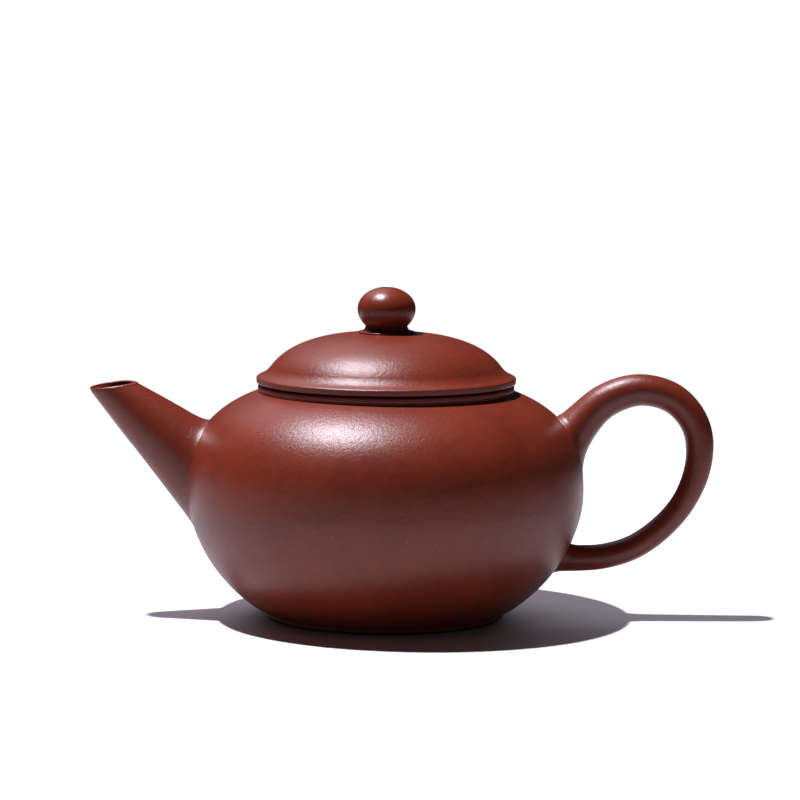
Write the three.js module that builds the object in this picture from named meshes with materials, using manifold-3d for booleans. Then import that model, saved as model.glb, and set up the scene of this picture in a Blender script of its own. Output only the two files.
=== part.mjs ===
// Small round-bodied Yixing teapot of red zisha clay: a slab-built body closed by a base disc and a
// mouth disc, a foot ring, a neck ring, a straight spout with a ball strainer behind it, an ear-shaped
// handle, and a loose domed lid with a ball knob. Millimetres, +Z up, the table at z = 0. The pot's
// axis is vertical, the spout points to -X and the handle to +X.

import * as THREE from 'three';
import { mergeVertices } from 'three/addons/utils/BufferGeometryUtils.js';
import Module from 'manifold-3d';

const wasm = await Module();
wasm.setup();

// ---- Driving dimensions -------------------------------------------------------------------------

const luteGap = 0.3; // layer of slip between two pieces that are luted together

// Body: two superellipse halves that meet at the belly, the widest level.
const bodyRadius = 38;
const bellyHeight = 23.7; // height of the widest level above the table
const shoulderRise = 22.3; // semi-height of the curve above the belly
const shoulderFullness = 2.69; // 2 is an ellipse, more is squarer
const bellyDrop = 30.3; // semi-height of the curve below the belly
const bellyFullness = 1.84;
const bodyWall = 2.6;

// Foot ring under the base.
const footHeight = 1.1;
const footWidth = 3.1;
const footInset = 0.95; // how far the ring stands back from the body's lower edge
const footRound = 0.3;

// Mouth, neck ring and the lid's seat.
const mouthRadius = 20.2;
const neckWidth = 4.3; // from the mouth out to the neck ring's edge
const neckHeight = 1.05;
const neckRound = 0.25;
const seatGap = 0.3; // between the neck ring and the lid that rests on it

// Spout: a straight cone, cut almost level at its mouth.
const spoutReach = 14.9; // from the belly's widest point out to the centre of the mouth
const spoutDrop = 0.5; // centre of the mouth below the top of the neck ring
const spoutAngle = THREE.MathUtils.degToRad(41.8); // rise of the spout's axis from the horizontal
const spoutMouthRadius = 3.6;
const spoutTaper = 0.1875; // radius lost for each millimetre along the axis
const spoutMouthTilt = THREE.MathUtils.degToRad(7.7); // the outer edge of the mouth is the lower one
const spoutLip = 0.75; // wall of the spout at its mouth
const spoutRootInset = 12; // how far inside the belly's widest point the cone is started
const spoutBoreTaper = 0.16;

// Strainer: a pierced half ball luted over the spout hole, inside the body.
const spoutHoleRadius = 5.4;
const spoutHoleDrop = 1.9; // centre of the hole below the point where the spout's axis meets the body
const strainerSeat = 1.8; // width of the strainer's rim on the wall round the hole
const strainerWall = 1.3;
const strainerHoleRadius = 0.9;
const strainerRings = [
  { count: 1, angle: 0 },
  { count: 6, angle: THREE.MathUtils.degToRad(28) },
  { count: 12, angle: THREE.MathUtils.degToRad(56) },
];

// Handle: a tapered roll bent to an ear. Each point of its centre line is the distance out from the
// belly's widest point, and the height as a share of the handle's own height.
const handleLowest = 11.2; // height of the centre line at the lower root
const handleTopDrop = 0.7; // centre line's highest point below the top of the neck ring
const handleLine = [
  [-6.5, 0.56],
  [-0.9, 0.795],
  [4.0, 0.935],
  [10.6, 1.0],
  [17.2, 0.945],
  [21.4, 0.785],
  [21.95, 0.565],
  [18.5, 0.305],
  [11.0, 0.09],
  [4.0, 0.012],
  [-7.5, 0.0],
];
// Half thickness of the roll at evenly spaced places along the centre line, upper root first.
const handleHalves = [5.9, 3.6, 3.1, 2.85, 2.65, 2.35, 2.35, 2.4, 2.7];
const handleWidthRatio = 1.08; // across the pot, against the thickness

// Lid: a flat ring with a rounded lip, a dome on it, and a wall that drops into the mouth.
const lidOverhang = 0.3; // how far the lip stands out past the neck ring
const lidRimHeight = 2.35;
const lidLipFace = 1.0; // upright part of the lip's edge
const lidLipWidth = 2.4; // from the lip's edge to the foot of the dome
const lidUnderRound = 0.3;
const domeRise = 7.05;
const domeSink = 7.4; // centre of the dome's curve below its foot
const domeFullness = 2.61;
const domeWall = 2.4;
const lidWallDepth = 7.5;
const lidWallThickness = 2.2;
const lidWallChamfer = 0.6;
const lidClearance = 0.35; // between the lid's wall and the mouth, all round

// Knob: a flattened ball on a flared collar, with a vent through both.
const ventRadius = 1.2;
const collarRadius = 5.4;
const collarHeight = 1.0;
const collarEdge = 0.25; // thin upright edge of the collar
const knobNeckRadius = 4.0;
const knobRadius = 5.54;
const knobRise = 4.15; // from the knob's widest level up to its top
const knobDrop = 4.7; // semi-height of the curve below the widest level
const knobStand = 2.95; // from the underside of the knob up to its widest level
const knobVentRound = 0.3;

// Facets around the round pieces, and steps along their outlines.
const ringFacets = 40;
const knobFacets = 24;
const handleFacets = 14;
const spoutFacets = 24;
const holeFacets = 8;
const handleSteps = 30;
const belowBellySteps = 7;
const aboveBellySteps = 8;
const domeOutsideSteps = 9;
const domeInsideSteps = 7;
const lipSteps = 4;
const neckSteps = 2;
const collarSteps = 3;
const underKnobSteps = 4;
const overKnobSteps = 6;

// ---- Values worked out from them -----------------------------------------------------------------

const neckRadius = mouthRadius + neckWidth;
const lidRadius = neckRadius + lidOverhang;
const strainerRadius = spoutHoleRadius + strainerSeat;
const wallBottom = footHeight + luteGap;
const floorHeight = wallBottom + bodyWall;
const neckJoint = bellyHeight + superHeight(neckRadius, bodyRadius, shoulderRise, shoulderFullness);
const mouthUnderside = neckJoint - bodyWall;
const neckTop = neckJoint + luteGap + neckHeight;
const lidSeat = neckTop + seatGap;
const cavityMouthRadius = bodyRadiusAt(mouthUnderside, bodyWall);
const cavityFloorRadius = bodyRadiusAt(floorHeight, bodyWall);
const footRadius = bodyRadiusAt(footHeight, 0) - footInset;
const lidWallRadius = mouthRadius - lidClearance;
const lidBore = lidWallRadius - lidWallThickness;
const spoutDirection = new THREE.Vector3(-Math.cos(spoutAngle), 0, Math.sin(spoutAngle));
const spoutMouth = new THREE.Vector3(-bodyRadius - spoutReach, 0, neckTop - spoutDrop);
const spoutLength = (spoutReach + spoutRootInset) / Math.cos(spoutAngle);
const spoutHoleHeight = neckTop - spoutDrop - spoutReach * Math.tan(spoutAngle) - spoutHoleDrop;

// ---- Curves ---------------------------------------------------------------------------------------

// Height of a superellipse over its centre at the given distance from its axis.
function superHeight(distance, radius, rise, fullness) {
  return rise * (1 - (distance / radius) ** fullness) ** (1 / fullness);
}

// Points on a superellipse between two heights over its centre, as [radius, height].
function superArc(radius, rise, fullness, fromHeight, toHeight, steps) {
  const fromAngle = Math.asin((fromHeight / rise) ** (fullness / 2));
  const toAngle = Math.asin((toHeight / rise) ** (fullness / 2));
  return Array.from({ length: steps + 1 }, (_, i) => {
    const angle = THREE.MathUtils.lerp(fromAngle, toAngle, i / steps);
    return [radius * Math.cos(angle) ** (2 / fullness), rise * Math.sin(angle) ** (2 / fullness)];
  });
}

// Radius of the body at a height, for the outer face (inset 0) or one that lies further in.
function bodyRadiusAt(height, inset) {
  const above = height > bellyHeight;
  const rise = (above ? shoulderRise : bellyDrop) - inset;
  const fullness = above ? shoulderFullness : bellyFullness;
  return superHeight(Math.abs(height - bellyHeight), rise, bodyRadius - inset, fullness);
}

// Outline of the body from one height up to another, at an inset from its outer face.
function bodyOutline(bottom, top, inset) {
  const radius = bodyRadius - inset;
  const lower = superArc(
    radius, bellyDrop - inset, bellyFullness, bellyHeight - bottom, 0, belowBellySteps);
  const upper = superArc(
    radius, shoulderRise - inset, shoulderFullness, 0, top - bellyHeight, aboveBellySteps);
  return [
    ...lower.map(([r, z]) => [r, bellyHeight - z]),
    ...upper.slice(1).map(([r, z]) => [r, bellyHeight + z]),
  ];
}

// Quarter of an ellipse about (r, z): from its outermost point round to its highest or lowest one.
function roundEdge(r, z, width, height, steps) {
  return Array.from({ length: steps + 1 }, (_, i) => {
    const angle = Math.PI / 2 * i / steps;
    return [r + width * Math.cos(angle), z + height * Math.sin(angle)];
  });
}

// ---- Solids ---------------------------------------------------------------------------------------

// Turned piece about +Z. The outline runs anticlockwise seen with the axis on the left.
function turned(outline, facets) {
  const points = outline.map(([r, z]) => new THREE.Vector2(r, z));
  return new THREE.LatheGeometry(points, facets).rotateX(Math.PI / 2);
}

// Turned ring: its outline is closed on itself.
function turnedRing(outline, facets) {
  return turned([...outline, outline[0]], facets);
}

// Round bar bent so that it follows a curve in the XZ plane, as thick as the halves curve says.
function bentBar(curve, halves) {
  const bar = new THREE.CylinderGeometry(1, 1, 1, handleFacets, handleSteps);
  const place = bar.attributes.position;
  for (let i = 0; i < place.count; i += 1) {
    const along = place.getY(i) + 0.5;
    const centre = curve.getPointAt(along);
    const tangent = curve.getTangentAt(along);
    const half = halves.getPoint(along).y;
    const out = place.getX(i) * half;
    const side = place.getZ(i) * half * handleWidthRatio;
    place.setXYZ(i, centre.x - tangent.z * out, side, centre.z + tangent.x * out);
  }
  return bar;
}

// Geometry to manifold-3d solid, and back. Corners closer than mergeDistance are one corner.
const mergeDistance = 1e-4;

function toManifold(geometry) {
  const bare = geometry.clone();
  bare.deleteAttribute('normal');
  bare.deleteAttribute('uv');
  const merged = mergeVertices(bare, mergeDistance);
  const corners = merged.index.array;
  const triangles = [];
  for (let i = 0; i < corners.length; i += 3) {
    const [a, b, c] = corners.slice(i, i + 3);
    if (a !== b && b !== c && c !== a) {
      triangles.push(a, b, c);
    }
  }
  return new wasm.Manifold(new wasm.Mesh({
    numProp: 3,
    vertProperties: new Float32Array(merged.attributes.position.array),
    triVerts: new Uint32Array(triangles),
  }));
}

function toGeometry(manifold) {
  const { vertProperties, triVerts } = manifold.getMesh();
  const geometry = new THREE.BufferGeometry();
  geometry.setAttribute('position', new THREE.BufferAttribute(vertProperties, 3));
  geometry.setIndex(new THREE.BufferAttribute(triVerts, 1));
  return geometry;
}

// The space that the body fills, grown by the slip of a luted joint.
function bodyBlock() {
  const side = bodyOutline(footHeight, neckJoint, -luteGap);
  return toManifold(turned([[0, footHeight], ...side, [0, neckJoint]], ringFacets));
}

// The hollow of the body, less the slip of a luted joint.
function cavityBlock() {
  const side = bodyOutline(floorHeight, mouthUnderside, bodyWall + luteGap);
  return toManifold(turned([[0, floorHeight], ...side, [0, mouthUnderside]], ringFacets));
}

// Cone about the spout's axis, from inside the body out past the mouth.
function spoutCone(radiusAtMouth, taper, overrun) {
  const length = spoutLength + overrun;
  const tip = radiusAtMouth - taper * overrun;
  const cone = new THREE.CylinderGeometry(tip, tip + taper * length, length, spoutFacets);
  const middle = spoutMouth.clone().addScaledVector(spoutDirection, overrun - length / 2);
  cone.rotateZ(Math.PI / 2 - spoutAngle).rotateX(Math.PI / 2);
  return toManifold(cone.translate(middle.x, middle.y, middle.z));
}

// ---- Pieces of the pot ----------------------------------------------------------------------------

function bodyWallPiece() {
  const inside = bodyOutline(floorHeight, mouthUnderside, bodyWall).reverse();
  const ring = turnedRing([
    ...bodyOutline(wallBottom, neckJoint, 0),
    [cavityMouthRadius, neckJoint],
    ...inside,
    [cavityFloorRadius, wallBottom],
  ], ringFacets);
  const drill = new THREE.CylinderGeometry(spoutHoleRadius, spoutHoleRadius, bodyRadius, spoutFacets);
  drill.rotateZ(Math.PI / 2).translate(-bodyRadius, 0, spoutHoleHeight);
  return toGeometry(toManifold(ring).subtract(toManifold(drill)));
}

function baseDisc() {
  const radius = cavityFloorRadius - luteGap;
  return turned([
    [0, wallBottom],
    [radius, wallBottom],
    [radius, floorHeight],
    [0, floorHeight],
  ], ringFacets);
}

function mouthDisc() {
  const radius = cavityMouthRadius - luteGap;
  return turnedRing([
    [mouthRadius, mouthUnderside],
    [radius, mouthUnderside],
    [radius, neckJoint],
    [mouthRadius, neckJoint],
  ], ringFacets);
}

function footRing() {
  const inner = footRadius - footWidth;
  return turnedRing([
    [inner + footRound, 0],
    [footRadius - footRound, 0],
    [footRadius, footRound],
    [footRadius, footHeight],
    [inner, footHeight],
    [inner, footRound],
  ], ringFacets);
}

function neckRing() {
  const bottom = neckJoint + luteGap;
  return turnedRing([
    [mouthRadius, bottom],
    [neckRadius, bottom],
    ...roundEdge(neckRadius - neckRound, neckTop - neckRound, neckRound, neckRound, neckSteps),
    [mouthRadius, neckTop],
  ], ringFacets);
}

function spoutPiece() {
  const pastMouth = 2 * spoutMouthRadius;
  const outside = spoutCone(spoutMouthRadius, spoutTaper, pastMouth);
  const bore = spoutCone(spoutMouthRadius - spoutLip, spoutBoreTaper, pastMouth + spoutLip);
  const cutSize = bodyRadius;
  const cut = new THREE.BoxGeometry(cutSize, cutSize, cutSize).translate(0, 0, cutSize / 2);
  cut.rotateY(-spoutMouthTilt).translate(spoutMouth.x, spoutMouth.y, spoutMouth.z);
  return toGeometry(outside.subtract(bore).subtract(toManifold(cut)).subtract(bodyBlock()));
}

function strainerPiece() {
  const centre = new THREE.Vector3(bodyWall - bodyRadius, 0, spoutHoleHeight);
  const outside = new THREE.SphereGeometry(strainerRadius, spoutFacets, spoutFacets / 2);
  const inside = new THREE.SphereGeometry(strainerRadius - strainerWall, spoutFacets, spoutFacets / 2);
  let ball = toManifold(outside).subtract(toManifold(inside));
  for (const { count, angle } of strainerRings) {
    for (let i = 0; i < count; i += 1) {
      ball = ball.subtract(toManifold(strainerDrill(angle, 2 * Math.PI * i / count)));
    }
  }
  return toGeometry(ball.translate(centre.toArray()).intersect(cavityBlock()));
}

// One hole of the strainer, at an angle off the ball's +X axis and a turn about that axis.
function strainerDrill(angle, turn) {
  const drill = new THREE.CylinderGeometry(
    strainerHoleRadius, strainerHoleRadius, strainerRadius, holeFacets);
  drill.rotateZ(-Math.PI / 2).translate(strainerRadius, 0, 0);
  return drill.rotateY(-angle).rotateX(turn);
}

function handlePiece() {
  const height = neckTop - handleTopDrop - handleLowest;
  const line = new THREE.CatmullRomCurve3(handleLine.map(([out, up]) => (
    new THREE.Vector3(bodyRadius + out, 0, handleLowest + up * height))));
  const halves = new THREE.SplineCurve(handleHalves.map((half, i) => new THREE.Vector2(i, half)));
  return toGeometry(toManifold(bentBar(line, halves)).subtract(bodyBlock()));
}

// ---- Pieces of the lid, with z = 0 at the underside of its rim -------------------------------------

const domeFoot = lidRimHeight + luteGap;
const domeTop = domeFoot + domeRise;
const collarBottom = domeTop + luteGap;
const knobBottom = collarBottom + collarHeight + luteGap;

function lidRim() {
  const roundWidth = lidLipWidth - luteGap;
  const roundHeight = lidRimHeight - lidLipFace;
  return turnedRing([
    [lidBore, 0],
    [lidRadius - lidUnderRound, 0],
    [lidRadius, lidUnderRound],
    ...roundEdge(lidRadius - roundWidth, lidLipFace, roundWidth, roundHeight, lipSteps),
    [lidBore, lidRimHeight],
  ], ringFacets);
}

// One face of the dome, from its foot up to the edge of the vent.
function domeArc(radius, rise, steps) {
  const top = superHeight(ventRadius, radius, rise, domeFullness);
  const arc = superArc(radius, rise, domeFullness, domeSink, top, steps);
  return arc.map(([r, z]) => [r, z - domeSink + domeFoot]);
}

function lidDome() {
  const rise = domeRise + domeSink;
  const radius = (lidRadius - lidLipWidth) / superHeight(domeSink, rise, 1, domeFullness);
  const outside = domeArc(radius, rise, domeOutsideSteps);
  const inside = domeArc(radius - domeWall, rise - domeWall, domeInsideSteps);
  return turnedRing([...outside, ...inside.reverse()], ringFacets);
}

function lidWall() {
  return turnedRing([
    [lidBore, -lidWallDepth],
    [lidWallRadius - lidWallChamfer, -lidWallDepth],
    [lidWallRadius, lidWallChamfer - lidWallDepth],
    [lidWallRadius, -luteGap],
    [lidBore, -luteGap],
  ], ringFacets);
}

function knobCollar() {
  const top = collarBottom + collarHeight;
  const flare = roundEdge(0, 0, collarRadius - knobNeckRadius, collarHeight - collarEdge, collarSteps);
  return turnedRing([
    [ventRadius, collarBottom],
    [collarRadius, collarBottom],
    ...flare.reverse().map(([r, z]) => [collarRadius - r, top - z]),
    [ventRadius, top],
  ], knobFacets);
}

function knobPiece() {
  const widest = knobBottom + knobStand;
  const lower = superArc(knobRadius, knobDrop, 2, knobStand, 0, underKnobSteps);
  const top = superHeight(ventRadius + knobVentRound, knobRadius, knobRise, 2);
  const upper = superArc(knobRadius, knobRise, 2, 0, top, overKnobSteps);
  return turnedRing([
    [ventRadius, knobBottom],
    ...lower.map(([r, z]) => [r, widest - z]),
    ...upper.slice(1).map(([r, z]) => [r, widest + z]),
    [ventRadius, widest + top - knobVentRound],
  ], knobFacets);
}

// ---- Assembly -------------------------------------------------------------------------------------

function piece(name, geometry, colour, roughness) {
  const mesh = new THREE.Mesh(
    geometry,
    new THREE.MeshStandardMaterial({ color: colour, roughness, metalness: 0 }),
  );
  mesh.name = name;
  return mesh;
}

const pot = new THREE.Group();
pot.add(
  piece('body_wall', bodyWallPiece(), 0x8b3421, 0.42),
  piece('base_disc', baseDisc(), 0x7d3022, 0.6),
  piece('mouth_disc', mouthDisc(), 0x7f3123, 0.55),
  piece('foot_ring', footRing(), 0x84331f, 0.5),
  piece('neck_ring', neckRing(), 0x883420, 0.45),
  piece('spout', spoutPiece(), 0x8d3522, 0.42),
  piece('strainer', strainerPiece(), 0x7a2f23, 0.6),
  piece('handle', handlePiece(), 0x8c3522, 0.42),
);

const lid = new THREE.Group();
lid.position.z = lidSeat;
lid.add(
  piece('lid_rim', lidRim(), 0x8e3723, 0.42),
  piece('lid_dome', lidDome(), 0x8e3622, 0.42),
  piece('lid_wall', lidWall(), 0x823224, 0.55),
  piece('knob_collar', knobCollar(), 0x8b3421, 0.45),
  piece('knob', knobPiece(), 0x903824, 0.4),
);

const teapot = new THREE.Group();
teapot.add(pot, lid);

// The origin is on the table, under the middle of the pot's whole length.
const extent = new THREE.Box3().setFromObject(teapot);
teapot.position.x = -(extent.min.x + extent.max.x) / 2;

export default teapot;
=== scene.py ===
import math

import bpy
import numpy as np
from mathutils import Matrix, Vector, noise


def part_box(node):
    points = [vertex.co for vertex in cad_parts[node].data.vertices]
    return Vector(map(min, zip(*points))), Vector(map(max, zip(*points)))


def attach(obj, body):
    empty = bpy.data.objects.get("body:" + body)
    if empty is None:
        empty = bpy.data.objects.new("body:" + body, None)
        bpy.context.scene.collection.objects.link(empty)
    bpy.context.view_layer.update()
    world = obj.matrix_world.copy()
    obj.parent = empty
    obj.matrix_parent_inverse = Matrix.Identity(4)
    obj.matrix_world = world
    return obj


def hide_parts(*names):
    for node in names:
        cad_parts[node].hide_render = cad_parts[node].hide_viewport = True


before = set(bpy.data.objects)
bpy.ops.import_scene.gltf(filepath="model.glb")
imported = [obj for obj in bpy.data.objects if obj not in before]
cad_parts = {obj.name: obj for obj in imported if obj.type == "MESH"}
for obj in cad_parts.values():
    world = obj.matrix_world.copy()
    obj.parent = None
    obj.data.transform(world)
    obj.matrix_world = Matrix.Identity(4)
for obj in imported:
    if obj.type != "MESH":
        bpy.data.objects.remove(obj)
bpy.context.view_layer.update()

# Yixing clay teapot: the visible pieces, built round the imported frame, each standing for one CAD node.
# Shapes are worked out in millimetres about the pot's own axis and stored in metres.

MM = 0.001
TAU = 2 * math.pi


# ---- Sizes, in millimetres ----------------------------------------------------------------------

def box_mm(node):
    """Lowest and highest corner of a CAD node, in millimetres."""
    low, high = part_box(node)
    return np.array(low) / MM, np.array(high) / MM


def half_width(node):
    """Radius of a turned CAD node, in millimetres."""
    low, high = box_mm(node)
    return (high[1] - low[1]) / 2


def level(node, end):
    """Height of a CAD node's underside (end 0) or top (end 1), in millimetres."""
    return box_mm(node)[end][2]


AXIS_X = sum(corner[0] for corner in box_mm("body_wall")) / 2

# The body is two superellipses, above and below the belly, and a little fuller low down.
BODY_RADIUS = half_width("body_wall")
BODY_WALL = level("base_disc", 1) - level("base_disc", 0)
BELLY_HEIGHT = 23.7
SHOULDER_RISE = 22.3
SHOULDER_FULLNESS = 2.69
BELLY_DROP = 30.3
BELLY_FULLNESS = 1.84
LOW_FULLNESS = 1.4
FULLNESS_START = 1.5
FULLNESS_REACH = 15.5
FULLNESS_ONSET = 0.6
FULLNESS_FADE = 1.8
FOOT_HEIGHT = level("foot_ring", 1)
FOOT_CREASE = FOOT_HEIGHT + 0.6
FOOT_RADIUS = half_width("foot_ring")
FOOT_WIDTH = 3.1
FLOOR_HEIGHT = level("base_disc", 1)
NECK_JOINT = level("body_wall", 1)
MOUTH_UNDERSIDE = level("mouth_disc", 0)
NECK_TOP = level("neck_ring", 1)
NECK_RADIUS = half_width("neck_ring")
MOUTH_RADIUS = 20.2

# The spout is a cone about a sloping axis, cut nearly level at the mouth, with a bore and a strainer.
SPOUT_REACH = 14.9
SPOUT_DROP = 0.5
SPOUT_ANGLE = math.radians(41.8)
SPOUT_MOUTH_RADIUS = 3.6
SPOUT_TAPER = 0.1875
SPOUT_TILT = math.radians(7.7)
SPOUT_LEAN = 0.055
SPOUT_LIP = 0.75
SPOUT_BORE_TAPER = 0.16
SPOUT_HOLE_RADIUS = 5.4
SPOUT_HOLE_DROP = 1.9
STRAINER_RADIUS = 7.2
STRAINER_WALL = 1.3
STRAINER_HOLE_RADIUS = 0.9
STRAINER_EDGE = math.radians(97)
STRAINER_POLE = math.radians(1)
STRAINER_RINGS = ((1, 0.0), (6, 28.0), (12, 56.0))    # holes in a ring, degrees from its axis

# The handle's line goes from its upper root to its lower one: how far outside the belly, and how high
# between its lowest and highest point. Its half thickness is given at even steps along it.
HANDLE_LOWEST = 11.2
HANDLE_TOP_DROP = 0.7
HANDLE_LINE = (
    (-6.5, 0.56), (-0.9, 0.795), (4.0, 0.935), (10.6, 1.0), (17.2, 0.945), (21.4, 0.785),
    (21.95, 0.565), (18.5, 0.305), (11.0, 0.09), (4.0, 0.012), (-7.5, 0.0),
)
HANDLE_HALVES = (5.9, 3.6, 3.1, 2.85, 2.65, 2.35, 2.35, 2.4, 2.7)
HANDLE_WIDTH_RATIO = 1.08

LID_SEAT = level("lid_rim", 0)
LID_RIM_TOP = level("lid_rim", 1)
LID_RADIUS = half_width("lid_rim")
LID_LIP_WIDTH = 2.4
LID_WALL_RADIUS = half_width("lid_wall")
LID_WALL_BOTTOM = level("lid_wall", 0)
LID_WALL_THICKNESS = 2.2
LID_BORE = LID_WALL_RADIUS - LID_WALL_THICKNESS
DOME_FOOT = level("lid_dome", 0)
DOME_TOP = level("lid_dome", 1)
DOME_SINK = 7.4
DOME_FULLNESS = 2.61
DOME_WALL = 2.4
VENT_RADIUS = 1.2
COLLAR_RADIUS = half_width("knob_collar")
COLLAR_TOP = level("knob_collar", 1)
KNOB_NECK_RADIUS = 4.0
KNOB_RADIUS = half_width("knob")
KNOB_BOTTOM = level("knob", 0)
KNOB_STAND = 2.95
KNOB_RISE = 4.15
KNOB_DROP = 4.7

# Points round a piece and round the spout hole's cutter, how far a piece is uneven, and the sizes of
# the broad and fine unevenness along x, y and z.
AROUND = 256
SMALL_AROUND = 128
HOLE_AROUND = 64
BODY_UNEVEN = 0.06
SMALL_UNEVEN = 0.05
LID_UNEVEN = 0.04
KNOB_UNEVEN = 0.03
UNEVEN_BROAD = (15, 15, 11)
UNEVEN_FINE = (4.5, 4.5, 3.5)
UNEVEN_FINE_SHARE = 0.07


# ---- Curves -------------------------------------------------------------------------------------

def super_height(distance, radius, rise, fullness):
    """Height of a superellipse over its centre at a distance from its axis."""
    share = np.clip(np.abs(distance) / radius, 0, 1)
    return rise * (1 - share ** fullness) ** (1 / fullness)


def super_arc(radius, rise, fullness, from_height, to_height, steps):
    """Points (radius, height) on a superellipse between two heights over its centre."""
    first = math.asin((from_height / rise) ** (fullness / 2))
    last = math.asin((to_height / rise) ** (fullness / 2))
    angle = np.linspace(first, last, steps + 1)
    return np.stack([
        radius * np.cos(angle) ** (2 / fullness),
        rise * np.sin(angle) ** (2 / fullness),
    ], axis=1)


def low_fullness(height):
    """How far the outer face swells past its curve low on the belly."""
    share = np.clip((np.asarray(height, float) - FULLNESS_START) / FULLNESS_REACH, 0, 1)
    return LOW_FULLNESS * share ** FULLNESS_ONSET * (1 - share) ** FULLNESS_FADE


def body_radius_at(height, inset=0.0):
    """Radius of the body at a height: its outer face, or a face that lies further in."""
    over = np.asarray(height, float) - BELLY_HEIGHT
    radius = BODY_RADIUS - inset
    above = super_height(over, SHOULDER_RISE - inset, radius, SHOULDER_FULLNESS)
    below = super_height(over, BELLY_DROP - inset, radius, BELLY_FULLNESS)
    if not inset:
        below = below + low_fullness(height)
    return np.where(over > 0, above, below)


def body_outline(bottom, top, inset, steps):
    """The body's outline from one height up to another, at an inset from its outer face."""
    radius = BODY_RADIUS - inset
    drop = BELLY_DROP - inset
    rise = SHOULDER_RISE - inset
    lower = super_arc(radius, drop, BELLY_FULLNESS, BELLY_HEIGHT - bottom, 0, steps)
    upper = super_arc(radius, rise, SHOULDER_FULLNESS, 0, top - BELLY_HEIGHT, steps)
    lower[:, 1] = BELLY_HEIGHT - lower[:, 1]
    upper[:, 1] = BELLY_HEIGHT + upper[:, 1]
    if not inset:
        lower[:, 0] += low_fullness(lower[:, 1])
    return np.concatenate([lower, upper[1:]])


def corner_arc(centre, width, height, first, last, steps):
    """Part of an ellipse about a centre, between two angles in degrees."""
    angle = np.radians(np.linspace(first, last, steps + 1))
    return np.stack([centre[0] + width * np.cos(angle), centre[1] + height * np.sin(angle)], axis=1)


def soft_corner(before, corner, after, steps):
    """A corner of an outline rounded off: a quadratic curve from before to after."""
    share = np.linspace(0, 1, steps + 1)[:, None]
    points = [np.array(p, float) for p in (before, corner, after)]
    weights = ((1 - share) ** 2, 2 * share * (1 - share), share ** 2)
    return sum(weight * point for weight, point in zip(weights, points))


def spaced(start, end, steps):
    """Points along a straight stretch, without its ends."""
    return np.linspace(start, end, steps + 1)[1:-1]


def catmull_rom(points, samples, power):
    """A Catmull-Rom curve through points; power 0 spaces its knots evenly, 0.5 is centripetal."""
    points = np.asarray(points, float)
    ends = [2 * points[0] - points[1], 2 * points[-1] - points[-2]]
    line = np.concatenate([ends[:1], points, ends[1:]])
    curve = []
    share = np.linspace(0, 1, samples, endpoint=False)[:, None]
    for a, b, c, d in zip(line, line[1:], line[2:], line[3:]):
        gaps = [np.linalg.norm(q - p) ** power for p, q in ((a, b), (b, c), (c, d))]
        leave = ((b - a) / gaps[0] - (c - a) / (gaps[0] + gaps[1]) + (c - b) / gaps[1]) * gaps[1]
        arrive = ((c - b) / gaps[1] - (d - b) / (gaps[1] + gaps[2]) + (d - c) / gaps[2]) * gaps[1]
        curve.append(
            (2 * share ** 3 - 3 * share ** 2 + 1) * b + (share ** 3 - 2 * share ** 2 + share) * leave
            + (3 * share ** 2 - 2 * share ** 3) * c + (share ** 3 - share ** 2) * arrive)
    return np.concatenate(curve + [points[-1:]])


# ---- Meshes -------------------------------------------------------------------------------------

def grid_faces(rings, around, closed):
    """Quads between neighbouring rings of a grid, each ring closed on itself."""
    rows = np.arange(rings if closed else rings - 1)
    columns = np.arange(around)
    row, column = np.meshgrid(rows, columns, indexing="ij")
    above = (row + 1) % rings
    beside = (column + 1) % around
    faces = np.stack([
        row * around + column, row * around + beside, above * around + beside, above * around + column,
    ], axis=-1)
    return faces.reshape(-1, 4)


def skin(name, rings, closed, bands=None):
    """A mesh over rings of points (rings, around, 3), in millimetres. Closed joins the last ring to
    the first; otherwise each end is capped. bands gives each ring's material number."""
    count, around, _ = rings.shape
    points = rings.reshape(-1, 3)
    faces = [tuple(face) for face in grid_faces(count, around, closed).tolist()]
    grid_count = len(faces)
    if not closed:
        points = np.concatenate([points, rings[:1].mean(axis=1), rings[-1:].mean(axis=1)])
        first, last = len(points) - 2, len(points) - 1
        top = (count - 1) * around
        for i in range(around):
            j = (i + 1) % around
            faces.append((first, j, i))
            faces.append((last, top + i, top + j))
    mesh = bpy.data.meshes.new(name)
    mesh.from_pydata((points * MM).tolist(), [], faces)
    if bands is not None:
        numbers = np.zeros(len(faces), np.int32)
        numbers[:grid_count] = np.repeat(np.asarray(bands)[:grid_count // around], around)
        mesh.polygons.foreach_set("material_index", numbers)
    mesh.polygons.foreach_set("use_smooth", np.ones(len(faces), bool))
    mesh.update()
    piece = bpy.data.objects.new(name, mesh)
    bpy.context.scene.collection.objects.link(piece)
    return piece


def turn(outline, around):
    """Rings of points made by turning an outline of (radius, height) about the pot's axis."""
    outline = np.asarray(outline, float)
    angle = np.linspace(0, TAU, around, endpoint=False)
    radius, height = outline[:, :1], outline[:, 1:]
    level_rings = np.broadcast_to(height, (len(outline), around))
    return np.stack([AXIS_X + radius * np.cos(angle), radius * np.sin(angle), level_rings], axis=-1)


def turned(name, outline, around=AROUND, closed=True, bands=None):
    """A turned piece. A closed outline is a ring; an open one starts and ends near the axis."""
    return skin(name, turn(outline, around), closed, bands)


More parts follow.
